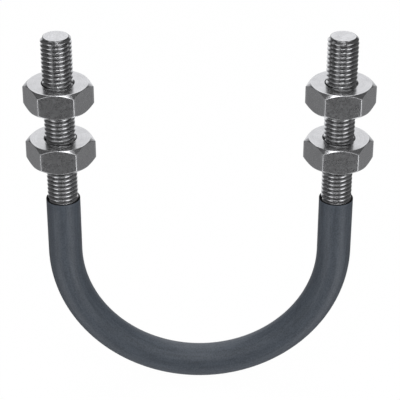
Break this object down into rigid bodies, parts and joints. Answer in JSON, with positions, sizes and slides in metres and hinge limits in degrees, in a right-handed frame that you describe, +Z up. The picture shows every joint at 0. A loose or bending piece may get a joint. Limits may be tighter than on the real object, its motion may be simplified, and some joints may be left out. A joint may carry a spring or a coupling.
{
  "type": "pipe u-bolt",
  "caption": "Round steel U-bolt with threaded legs, a dark plastic sleeve over its bend, and pairs of hexagon nuts that clamp a plate between them.",
  "frame": {"origin": "centre of the half-ring bend, on the axis of the pipe that the U-bolt holds", "axes": "+Z up both legs to their threaded ends, +Y along the pipe's axis, +X from the left leg to the right leg"},
  "size_m": [0.1354, 0.0236, 0.1538],
  "materials": {
    "rod_steel": "bright rolled thread",
    "nut_steel": "satin, turned end faces",
    "sleeve_plastic": "satin tube"
  },
  "bodies": {
    "u_bolt": {"u_rod": "rod_steel", "sleeve": "sleeve_plastic"},
    "left_upper_nut": {"left_upper_nut": "nut_steel"},
    "left_lower_nut": {"left_lower_nut": "nut_steel"},
    "right_upper_nut": {"right_upper_nut": "nut_steel"},
    "right_lower_nut": {"right_lower_nut": "nut_steel"}
  },
  "joints": [
    {"name": "left_upper_nut_travel", "type": "slide", "parent": "u_bolt", "child": "left_upper_nut", "axis": [0, 0, 1], "range_m": [-0.007, 0.02625]},
    {"name": "left_lower_nut_travel", "type": "slide", "parent": "u_bolt", "child": "left_lower_nut", "axis": [0, 0, 1], "range_m": [-0.01575, 0.00525]},
    {"name": "right_upper_nut_travel", "type": "slide", "parent": "u_bolt", "child": "right_upper_nut", "axis": [0, 0, 1], "range_m": [-0.007, 0.02625]},
    {"name": "right_lower_nut_travel", "type": "slide", "parent": "u_bolt", "child": "right_lower_nut", "axis": [0, 0, 1], "range_m": [-0.01575, 0.00525]}
  ]
}
